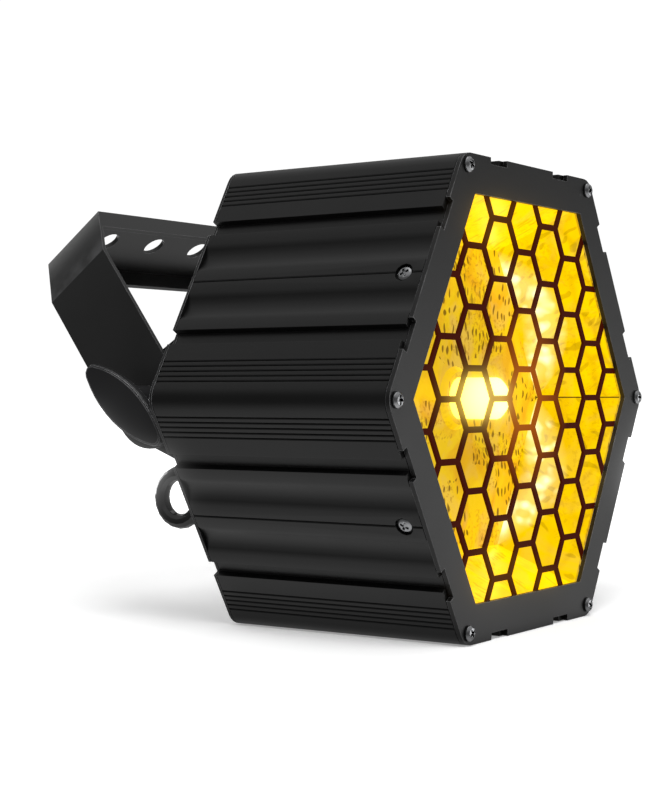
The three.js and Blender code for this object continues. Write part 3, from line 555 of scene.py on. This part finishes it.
# The whole tray glows by this much, as painted light standing in for the lamp's light on the gold.
painted_tray_glow = 0.92
wall_rough, floor_rough = 0.18, 0.40


# The mask of the lamp's painted reflection on the side walls.
def painted_lamp_reflection(tree, from_axis, dimples, across, floor_part):
    beyond_collar = maths(tree, "GREATER_THAN", from_axis, collar_reach)
    beside = maths(tree, "GREATER_THAN", maths(tree, "ABSOLUTE", across), side_facing)
    return product(
        tree, remap(tree, from_axis, painted_reflection_rise), remap(tree, from_axis, painted_reflection_fall),
        remap(tree, dimples, *painted_reflection_breaks), maths(tree, "SUBTRACT", 1.0, floor_part),
        beside, beyond_collar)


def build_gold():
    material, tree, shader = new_material("gold_reflector")
    marks = place_group(tree, hammer_marks, {"Swirl": 0.4})
    normal = add_node(tree, "ShaderNodeTexCoord").outputs["Normal"]
    facing = add_node(tree, "ShaderNodeSeparateXYZ", {"Vector": normal}).outputs
    floor_part = maths(tree, "LESS_THAN", facing["Y"], floor_facing)
    mark_share = remap(tree, floor_part, (0.0, 1.0), (wall_marks, 1.0))
    tone = mix_colour(tree, floor_part, colour(wall_gold), colour(floor_gold))
    for mark, amount in mark_amounts.items():
        strength = product(tree, marks[mark], mark_share, amount)
        tone = mix_colour(tree, strength, tone, colour(mark_colours[mark]))
    from_axis = distance_from_axis(tree)
    # Paint the lamp's reflection on the walls.
    painted_reflection = painted_lamp_reflection(tree, from_axis, marks["Height"], facing["X"], floor_part)
    # Painted shade: the base colour is darkened everywhere, and most near the lamp.
    painted_shade = remap(tree, from_axis, painted_shade_ring, painted_shade_amounts)
    set_inputs(tree, shader, {
        "Base Color": mix_colour(tree, painted_shade, tone, colour(painted_shade_gold)),
        "Metallic": 1.0,
        "Roughness": mix_colour(tree, floor_part, grey(wall_rough), grey(floor_rough)),
        "Emission Color": mix_colour(tree, painted_reflection, tone, painted_reflection_colour),
        "Emission Strength": painted_tray_glow,
    })
    hammered = product(tree, marks["Height"], floor_part)
    emboss(tree, shader, hammered, strength=0.55, depth=0.8 * mm)
    return material


gold = build_gold()
print("gold uses:", len(gold.node_tree.nodes), "nodes")

# %% [markdown]
# ## The grille in the lamp's light
#
# The grille is thin black sheet, yet its bars look maroon, and orange in front of the
# lamp: warm light creeps round their edges. A painted glow that fades with the distance
# from the lamp's axis, measured on the part itself, stands in for that light from every side.

# %% Build the grille's coat
# The bars carry a painted glow, orange near the lamp's axis and maroon beyond this reach.
painted_glow_reach = (50 * mm, 10 * mm)
maroon, orange = "#3e0d02", "#a8540a"


def build_grille_coat():
    material, tree, shader = new_material("grille_coat")
    skin = place_group(tree, fine_grain, {"Scale": 1500.0, "Roughness": 0.55})
    # The painted glow is orange close to the lamp's axis and maroon further out.
    painted_glow_near_lamp = remap(tree, distance_from_axis(tree), painted_glow_reach)
    set_inputs(tree, shader, {
        "Base Color": mix_colour(tree, skin["Tone"], colour("#080302"), colour("#0d0403")),
        "Roughness": skin["Roughness"],
        "Specular IOR Level": 0.03,
        "Emission Color": mix_colour(tree, painted_glow_near_lamp, colour(maroon), colour(orange)),
        "Emission Strength": 1.0,
    })
    emboss(tree, shader, skin["Height"], strength=0.2, depth=0.1 * mm)
    return material


grille_coat = build_grille_coat()
print("grille glows within mm:", round(painted_glow_reach[0] / mm))

# %% [markdown]
# ## The lit lamp
#
# The diffuser is white hot in the photograph, with a warm rim. It really lights the tray
# here, so its strength is set by what reaches the gold. It glows a little more warmly
# towards its base, where the light has further to go through the frosted shell.

# %% Build the lamp's glow
lamp_strength = 2.6
tip_colour, base_colour = "#ffee7a", "#ffd044"
frost_rough = (0.45, 0.65)


def build_lamp_glow():
    material, tree, shader = new_material("lamp_glow")
    place = place_on_part(tree)
    split = add_node(tree, "ShaderNodeSeparateXYZ", {"Vector": place}).outputs
    low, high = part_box("lamp_diffuser")
    base_part = remap(tree, split["Y"], (low.y, high.y))
    frost = add_node(tree, "ShaderNodeTexNoise", {"Vector": place, "Scale": 400.0, "Detail": 2.0})
    glow = mix_colour(tree, base_part, colour(tip_colour), colour(base_colour))
    set_inputs(tree, shader, {
        "Base Color": glow,
        "Roughness": remap(tree, frost.outputs["Fac"], tone_span, frost_rough),
        "Emission Color": glow,
        "Emission Strength": lamp_strength,
    })
    return material


lamp_glow = build_lamp_glow()
print("lamp strength:", lamp_strength)

# %% [markdown]
# ## Boards and the display window
#
# Inside are a green control board and the lamp's white board. On the rear the display
# sits behind smoked plastic. They are small, but a board without traces or a window
# without depth looks like card.

# %% Build the boards and the window
trace_edge = (0.10, 0.04)


def build_board(name, base, trace, rough):
    material, tree, shader = new_material(name)
    cells = add_node(tree, "ShaderNodeTexVoronoi", {
        "Vector": place_on_part(tree), "Scale": 260.0,
    }, distance="MANHATTAN", feature="DISTANCE_TO_EDGE")
    lines = remap(tree, cells.outputs["Distance"], trace_edge)
    skin = place_group(
        tree, fine_grain, {"Scale": 1300.0, "Roughness": rough, "Smudge Scale": 60.0})
    set_inputs(tree, shader, {
        "Base Color": mix_colour(tree, lines, colour(base), colour(trace)),
        "Roughness": skin["Roughness"],
    })
    emboss(tree, shader, lines, strength=0.3, depth=0.05 * mm)
    return material


def build_window():
    material, tree, shader = new_material("display_window")
    skin = place_group(
        tree, fine_grain, {"Scale": 500.0, "Roughness": 0.10, "Roughness Spread": 0.05})
    set_inputs(tree, shader, {
        "Base Color": mix_colour(tree, skin["Tone"], colour("#0b0f12"), colour("#12181c")),
        "Roughness": skin["Roughness"],
        "Coat Weight": 0.6,
    })
    return material


green_board = build_board("green_board", "#0f4a26", "#2c7a48", 0.35)
white_board = build_board("white_board", "#e6e6df", "#c9c9c0", 0.45)
window = build_window()
print("boards and window:", green_board.name, white_board.name, window.name)

# %% [markdown]
# ## Put the finishes on the solids
#
# Each solid names a finish slot in its record. The finish replaces the plain colour that
# came with the solid, so nothing stays flat. The yoke shares its slot with the other sheet
# parts, but its copy of the coat is painted a little lighter, to stand in for the light on
# its arms, so it has a finish of its own.

# %% Assign the finishes
finishes = {
    "body_powder_coat": body_coat,
    "sheet_powder_coat": sheet_coat,
    "grille_coat": grille_coat,
    "gold_reflector": gold,
    "lamp_glow": lamp_glow,
    "white_board": white_board,
    "bare_aluminium": sink_metal,
    "plated_steel": steel_metal,
    "green_board": green_board,
    "display_window": window,
    "eye_coat": eye_coat,
    "plated_screws": screw_metal,
    "knob_plastic": knob_coat,
    "washer_plastic": washer_coat,
    "socket_plastic": socket_coat,
    "button_plastic": button_coat,
}
own_finish = {"yoke": yoke_coat_painted_lighter}
for part in frame["record"]["subparts"]:
    mesh = nodes[part["node"]].data
    mesh.materials.clear()
    mesh.materials.append(own_finish.get(part["node"], finishes[part["material_slot"]]))

# %% [markdown]
# ## Soft edges on hard solids
#
# No real edge is a knife edge, and it is the small round that draws a light line along
# it. The solids stay as they are: a stack of modifiers merges their facets, rounds the
# sharp edges by a fraction of a millimetre and shades the round stretches smoothly. A
# small geometry node tree does the last step, with one angle to tell round from sharp.

# %% Build the smooth-by-angle tree
smooth_below = math.radians(32)


def build_smooth_by_angle():
    tree = bpy.data.node_groups.new("smooth by angle", "GeometryNodeTree")
    tree.interface.new_socket("Geometry", in_out="INPUT", socket_type="NodeSocketGeometry")
    angle = tree.interface.new_socket("Angle", in_out="INPUT", socket_type="NodeSocketFloat")
    angle.default_value = smooth_below
    tree.interface.new_socket("Geometry", in_out="OUTPUT", socket_type="NodeSocketGeometry")
    given = tree.nodes.new("NodeGroupInput")
    made = tree.nodes.new("NodeGroupOutput")
    edge_angle = tree.nodes.new("GeometryNodeInputMeshEdgeAngle")
    gentle = add_node(tree, "FunctionNodeCompare", data_type="FLOAT", operation="LESS_THAN")
    link(tree, edge_angle.outputs["Unsigned Angle"], gentle.inputs[0])
    link(tree, given.outputs["Angle"], gentle.inputs[1])
    faces = add_node(tree, "GeometryNodeSetShadeSmooth", domain="FACE")
    edges = add_node(tree, "GeometryNodeSetShadeSmooth", domain="EDGE")
    link(tree, given.outputs["Geometry"], faces.inputs["Geometry"])
    link(tree, faces.outputs["Geometry"], edges.inputs["Geometry"])
    link(tree, gentle.outputs["Result"], edges.inputs["Shade Smooth"])
    link(tree, edges.outputs["Geometry"], made.inputs["Geometry"])
    return tree


smooth_by_angle = build_smooth_by_angle()
print("smoothing tree nodes:", len(smooth_by_angle.nodes))

# %% Round and smooth the solids
weld_reach = 0.01 * mm
flat_below = math.radians(0.5)
sharp_above = math.radians(30)
round_steps = 2
usual_edge = 0.2 * mm
edge_widths = {
    "housing": 0.25 * mm,
    "front_frame": 0.35 * mm,
    "rear_panel": 0.35 * mm,
    "yoke": 0.4 * mm,
    "pivot_bracket_left": 0.4 * mm,
    "pivot_bracket_right": 0.4 * mm,
    "tilt_knob_left": 0.35 * mm,
    "tilt_knob_right": 0.35 * mm,
    "reflector_tray": 0,
    "lamp_diffuser": 0.4 * mm,
    "safety_eye": 0.3 * mm,
}


def clear_custom_normals(mesh):
    stored = mesh.attributes.get("custom_normal")
    if stored is not None:
        mesh.attributes.remove(stored)


def soften(piece, width):
    clear_custom_normals(piece.data)
    weld = piece.modifiers.new("weld", "WELD")
    weld.merge_threshold = weld_reach
    flat = piece.modifiers.new("flat", "DECIMATE")
    flat.decimate_type = "DISSOLVE"
    flat.angle_limit = flat_below
    if width:
        bevel = piece.modifiers.new("edge", "BEVEL")
        bevel.width = width
        bevel.segments = round_steps
        bevel.limit_method = "ANGLE"
        bevel.angle_limit = sharp_above
    smooth = piece.modifiers.new("smooth", "NODES")
    smooth.node_group = smooth_by_angle
    even = piece.modifiers.new("even", "WEIGHTED_NORMAL")
    even.keep_sharp = True


for name, piece in nodes.items():
    soften(piece, edge_widths.get(name, usual_edge))
print("softened:", len(nodes))

# %% [markdown]
# ## Small pieces of their own
#
# The pieces that the solid model leaves out are made here as meshes. Each is built from
# rings of points: a skin runs from ring to ring, and the first and last are closed. Then
# it gets its finish and rides on the body that carries it.

# %% Helpers for new pieces
def join_rings(shape, rings):
    count = len(rings[0])
    for lower, upper in zip(rings, rings[1:]):
        for side in range(count):
            after = (side + 1) % count
            shape.faces.new((lower[side], lower[after], upper[after], upper[side]))
    shape.faces.new(rings[0][::-1])
    shape.faces.new(rings[-1])


def new_object(name, mesh_builder, material):
    mesh = bpy.data.meshes.new(name)
    shape = bmesh.new()
    mesh_builder(shape)
    bmesh.ops.recalc_face_normals(shape, faces=shape.faces)
    shape.to_mesh(mesh)
    shape.free()
    mesh.materials.append(material)
    piece = bpy.data.objects.new(name, mesh)
    bpy.context.scene.collection.objects.link(piece)
    return piece


def new_piece(name, mesh_builder, material, slot, body="lamp_body"):
    piece = new_object(name, mesh_builder, material)
    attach(piece, body)


print("piece helpers:", [helper.__name__ for helper in (join_rings, new_object, new_piece)])

# %% [markdown]
# ## Folded corners in the tray
#
# The tray is bent from two halves, which meet in the folds at its left and right corners.
# A thin line of shade stays between them there. Each seam is a narrow dark strip of painted
# shade that lies in the fold, from the floor's corner to the mouth's.

# %% Lay the seams in the tray's folds
opening_flat = 103 * mm
floor_flat = 82 * mm
wall_sheet = 1.2 * mm
floor_front = tray_back - wall_sheet
seam_half = 0.3 * mm
seam_lift = 0.15 * mm
seam_foot = seam_lift / 4
seam_corners = (0, 3)
corner_turn = math.radians(60)


def corner_point(flat, corner, y):
    reach = flat / math.cos(corner_turn / 2)
    turn = corner_turn * corner
    return Vector((reach * math.cos(turn), y, lamp_axis.z + reach * math.sin(turn)))


def build_seams(shape):
    for corner in seam_corners:
        turn = corner_turn * corner
        inward = Vector((-math.cos(turn), 0, -math.sin(turn)))
        aside = Vector((-math.sin(turn), 0, math.cos(turn)))
        start = corner_point(floor_flat, corner, floor_front)
        end = corner_point(opening_flat, corner, tray_mouth)
        rings = []
        for point in (start, end):
            ridge = point + inward * (seam_half + seam_lift)
            places = (ridge - aside * seam_half, ridge + aside * seam_half,
                      point + inward * seam_foot)
            rings.append([shape.verts.new(place) for place in places])
        join_rings(shape, rings)


# The seams' dark colour is painted shade.
seam_shade = coated(
    "tray_fold_shadow", base="#3a2a08", second="#4a370c", lit_and_worn_edge="#6b5312",
    grain={"Scale": 1200.0, "Roughness": 0.6, "Roughness Spread": 0.08},
    edge_highlight_and_wear_inputs={"Width": 0.2 * mm, "Amount": 0.1}, bump=(0.1, 0.05 * mm))
new_piece("tray_seams", build_seams, seam_shade, "gold_reflector")
print("seams:", len(seam_corners))

# %% [markdown]
# ## Contacts in the sockets
#
# An empty socket is not an empty hole: metal contacts stand in it. The power sockets have
# three thick pins in a ring and the control sockets five thin ones. Each pin is turned,
# with a tapered tip, and a socket's pins are joined in one mesh.

# %% Stand the contacts in the sockets
pin_sides = 12
pin_length = 9 * mm
tip_length_share = 0.5
tip_width_share = 0.6
mouth_depth = 14 * mm
power_pins = {"count": 3, "ring": 5 * mm, "radius": 1.6 * mm, "start": 90}
control_pins = {"count": 5, "ring": 4.4 * mm, "radius": 0.8 * mm, "start": 18}
socket_pins = {
    "power_inlet": power_pins, "power_outlet": power_pins,
    "control_inlet": control_pins, "control_outlet": control_pins,
}


def around(radius, turn, along=0.0):
    return Vector((radius * math.cos(turn), along, radius * math.sin(turn)))


def add_pin(shape, centre, radius):
    shoulder = pin_length - radius * tip_length_share
    profile = ((radius, 0.0), (radius, shoulder), (radius * tip_width_share, pin_length))
    turns = [2 * math.pi * side / pin_sides for side in range(pin_sides)]
    join_rings(shape, [
        [shape.verts.new(centre + around(reach, turn, along)) for turn in turns]
        for reach, along in profile
    ])


def socket_floor(name):
    low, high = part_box(name)
    return Vector(((low.x + high.x) / 2, high.y - mouth_depth, (low.z + high.z) / 2))


def build_pins(name, pins):
    def build(shape):
        for pin in range(pins["count"]):
            turn = math.radians(pins["start"]) + 2 * math.pi * pin / pins["count"]
            add_pin(shape, socket_floor(name) + around(pins["ring"], turn), pins["radius"])
    return build


for name, pins in socket_pins.items():
    new_piece(name + "_contacts", build_pins(name, pins), screw_metal, "plated_screws")
print("sockets with contacts:", len(socket_pins))

# %% [markdown]
# ## Digits in the display
#
# A lamp of this kind shows its channel number in three red digits, each made of seven
# bars, of which some are lit. The bars have pointed ends, so that they meet in thin dark
# gaps. Each lit one is a small six-cornered prism on the window's face, which reads as a
# display from any side.

# %% Shape one bar
bar_half = 0.8 * mm
bar_gap = 0.25 * mm
bar_rise = 0.2 * mm


def add_bar(shape, centre, half_length, upright):
    shoulder = half_length - bar_half
    outline = [
        (-half_length, 0), (-shoulder, -bar_half), (shoulder, -bar_half),
        (half_length, 0), (shoulder, bar_half), (-shoulder, bar_half),
    ]
    rings = []
    for rise in (0, bar_rise):
        ring = []
        for along, across in outline:
            x, z = (across, along) if upright else (along, across)
            ring.append(shape.verts.new(centre + Vector((x, rise, z))))
        rings.append(ring)
    join_rings(shape, rings)


print("bar width in mm:", round(2 * bar_half / mm, 1))

# %% Place the bars of the number
digit_width = 6.4 * mm
digit_height = 11.0 * mm
digit_pitch = 10.5 * mm
shown_number = "001"
bars_of_digit = {"0": "abcdef", "1": "bc"}
bar_places = {
    "a": (0, 1, "flat"), "b": (1, 0.5, "tall"), "c": (1, -0.5, "tall"), "d": (0, -1, "flat"),
    "e": (-1, -0.5, "tall"), "f": (-1, 0.5, "tall"),
}


def build_digits(shape):
    glass = middle("display_window")
    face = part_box("display_window")[1].y
    for place, digit in enumerate(shown_number):
        right = (place - 1) * digit_pitch
        for bar in bars_of_digit[digit]:
            side, level, way = bar_places[bar]
            centre = Vector((
                glass.x - right - side * digit_width / 2,
                face,
                glass.z + level * digit_height / 2,
            ))
            upright = way == "tall"
            reach = digit_height / 4 if upright else digit_width / 2
            add_bar(shape, centre, reach - bar_gap, upright)


print("lit bars:", sum(len(bars_of_digit[digit]) for digit in shown_number))

# %% Light the display's digits
digit_strength = 1.1


def build_digit_glow():
    material, tree, shader = new_material("digit_glow")
    skin = place_group(
        tree, fine_grain, {"Scale": 3000.0, "Roughness": 0.35, "Smudge Scale": 500.0})
    glow = mix_colour(tree, skin["Tone"], colour("#ff2a12"), colour("#ff3c1c"))
    set_inputs(tree, shader, {
        "Base Color": glow, "Roughness": skin["Roughness"],
        "Emission Color": glow, "Emission Strength": digit_strength,
    })
    return material


new_piece("display_digits", build_digits, build_digit_glow(), "display_window")
print("digits:", len(shown_number))

# %% [markdown]
# ## The stage
#
# The photograph has a white ground that runs into a white background, with only a faint
# shadow behind the lamp. A large pale plane stands for both. Black paint shows what it
# mirrors more than its own colour. The lower ribs shade from light to dark by the angle
# they are seen at, just as the upper ones do, so to every ray but the camera's the plane
# is clear and lets the room's light through from below. Only close round the body's foot
# is it dark, as the real table is there in shadow.

# %% Measure from the body's foot
hexagon_half_side = math.tan(math.radians(30))


def distance_from_foot(tree, place):
    low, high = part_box("housing")
    half_foot = ((high.z - low.z) / 2 * hexagon_half_side, (high.y - low.y) / 2, 1)
    offset = vector_maths(tree, "SUBTRACT", place, (0, (low.y + high.y) / 2, 0))
    folded = vector_maths(tree, "ABSOLUTE", offset)
    outside = vector_maths(tree, "SUBTRACT", folded, half_foot)
    return vector_maths(tree, "LENGTH", vector_maths(tree, "MAXIMUM", outside, (0, 0, 0)))


print("foot's share of the height:", round(hexagon_half_side, 3))

# %% Lay the floor
floor_reach = 9.0
floor_drop = 0.2 * mm
white_from = (0.35, 1.5)
paper_glow = (0.30, 1.05)
foot_shadow = (26 * mm, 4 * mm)
foot_darkness = (0.0, 0.6)


def build_floor(shape):
    corners = [(-1, -1), (1, -1), (1, 1), (-1, 1)]
    shape.faces.new([shape.verts.new((x * floor_reach, y * floor_reach, 0)) for x, y in corners])


def build_floor_material():
    material, tree, shader = new_material("pale_floor")
    place = place_on_part(tree)
    reach = vector_maths(tree, "LENGTH", place)
    set_inputs(tree, shader, {
        "Base Color": grey(0.92), "Roughness": 0.8, "Specular IOR Level": 0.1,
        "Emission Color": grey(1), "Emission Strength": remap(tree, reach, white_from, paper_glow),
    })
    clear = add_node(tree, "ShaderNodeBsdfTransparent")
    dark = add_node(tree, "ShaderNodeBsdfDiffuse", {"Color": grey(0.02)})
    table = add_node(tree, "ShaderNodeMixShader", {
        "Fac": remap(tree, distance_from_foot(tree, place), foot_shadow, foot_darkness)})
    link(tree, clear.outputs["BSDF"], table.inputs[1])
    link(tree, dark.outputs["BSDF"], table.inputs[2])
    rays = add_node(tree, "ShaderNodeLightPath")
    choose = add_node(tree, "ShaderNodeMixShader", {"Fac": rays.outputs["Is Camera Ray"]})
    link(tree, table.outputs["Shader"], choose.inputs[1])
    link(tree, shader.outputs["BSDF"], choose.inputs[2])
    out = next(node for node in tree.nodes if node.type == "OUTPUT_MATERIAL")
    link(tree, choose.outputs["Shader"], out.inputs["Surface"])
    return material


studio_floor = new_object("studio_floor", build_floor, build_floor_material())
studio_floor.location.z = -floor_drop
print("floor side in metres:", 2 * floor_reach)

# %% [markdown]
# ## The light
#
# The camera sees a white room. The lamp itself stands in a dim one: dark at the horizon,
# so that the corners of the body stay black, and brighter above and below, so that the
# ribs have their grey sheen. How bright it is at each height was read back from the
# photograph, through the angle at which each rib mirrors the room. A key panel at the
# front, high up, whitens the table and throws the shadow behind the lamp. A low panel on
# the right is what the flat front frame mirrors towards the camera. A third one lights
# the rear.

# %% Light the room
horizon_light = 0.11
upper_light = 0.38
zenith_light = 1.1
lower_light = 0.63
right_light = 0.10
backdrop_light = 1.05
upper_slope = (0.36, 0.64)
zenith_slope = (0.86, 0.97)
lower_slope = (-0.26, -0.74)
right_slope = (0.0, 0.8)


def build_room():
    world = bpy.data.worlds.new("white_room")
    bpy.context.scene.world = world
    world.use_nodes = True
    tree = world.node_tree
    tree.nodes.clear()
    generated = add_node(tree, "ShaderNodeTexCoord").outputs["Generated"]
    way = add_node(tree, "ShaderNodeSeparateXYZ", {"Vector": generated}).outputs
    light = remap(tree, way["X"], right_slope, (0.0, right_light))
    for slope, rise in (
        (upper_slope, upper_light - horizon_light),
        (zenith_slope, zenith_light - upper_light),
        (lower_slope, lower_light - horizon_light),
    ):
        light = maths(tree, "ADD", light, remap(tree, way["Z"], slope, (0.0, rise)))
    strength = maths(tree, "ADD", light, horizon_light)
    room = add_node(tree, "ShaderNodeBackground", {"Color": grey(1), "Strength": strength})
    backdrop = add_node(
        tree, "ShaderNodeBackground", {"Color": grey(1), "Strength": backdrop_light})
    rays = add_node(tree, "ShaderNodeLightPath")
    choose = add_node(tree, "ShaderNodeMixShader", {"Fac": rays.outputs["Is Camera Ray"]})
    link(tree, room.outputs["Background"], choose.inputs[1])
    link(tree, backdrop.outputs["Background"], choose.inputs[2])
    out = add_node(tree, "ShaderNodeOutputWorld")
    link(tree, choose.outputs["Shader"], out.inputs["Surface"])


build_room()
print("room light from below and above:", lower_light, upper_light)

# %% Hang the soft panels
panels = {
    "key_panel": {
        "place": (-0.95, -0.85, 1.7), "aim": (0, 0, 0), "size": (0.9, 0.9), "watts": 28},
    "frame_panel": {
        "place": (1.15, -1.25, -0.02), "aim": (0, 0, 0.12), "size": (1.3, 0.5), "watts": 2.9},
    "rear_panel_light": {
        "place": (0.5, 1.7, 0.5), "aim": (0, 0.1, 0.12), "size": (1.3, 1.0), "watts": 11},
}
unmirrored_panel = "key_panel"


def soft_panel(name, place, aim, size, watts):
    data = bpy.data.lights.new(name, "AREA")
    data.shape = "RECTANGLE"
    data.size, data.size_y = size
    data.energy = watts
    panel = bpy.data.objects.new(name, data)
    bpy.context.scene.collection.objects.link(panel)
    panel.location = place
    panel.rotation_mode = "QUATERNION"
    panel.rotation_quaternion = (Vector(aim) - Vector(place)).to_track_quat("-Z", "Y")
    panel.visible_glossy = name != unmirrored_panel


for name, values in panels.items():
    soft_panel(name, **values)
print("soft panels:", len(panels))

# %% [markdown]
# ## The lamp's bloom
#
# A lens spreads very bright light, so the lamp's white bleeds over the bars in front of
# it. A glare step after the render does the same, with a threshold that only the lamp and
# its reflections pass.

# %% Add the bloom
scene = bpy.context.scene
scene.use_nodes = True
after = scene.node_tree
after.nodes.clear()
picture = add_node(after, "CompositorNodeRLayers")
bloom = add_node(after, "CompositorNodeGlare", {
    "Image": picture.outputs["Image"], "Threshold": 1.35, "Strength": 1.0, "Size": 0.06,
}, glare_type="BLOOM")
add_node(after, "CompositorNodeComposite", {"Image": bloom.outputs["Image"]})
print("bloom strength:", bloom.inputs["Strength"].default_value)
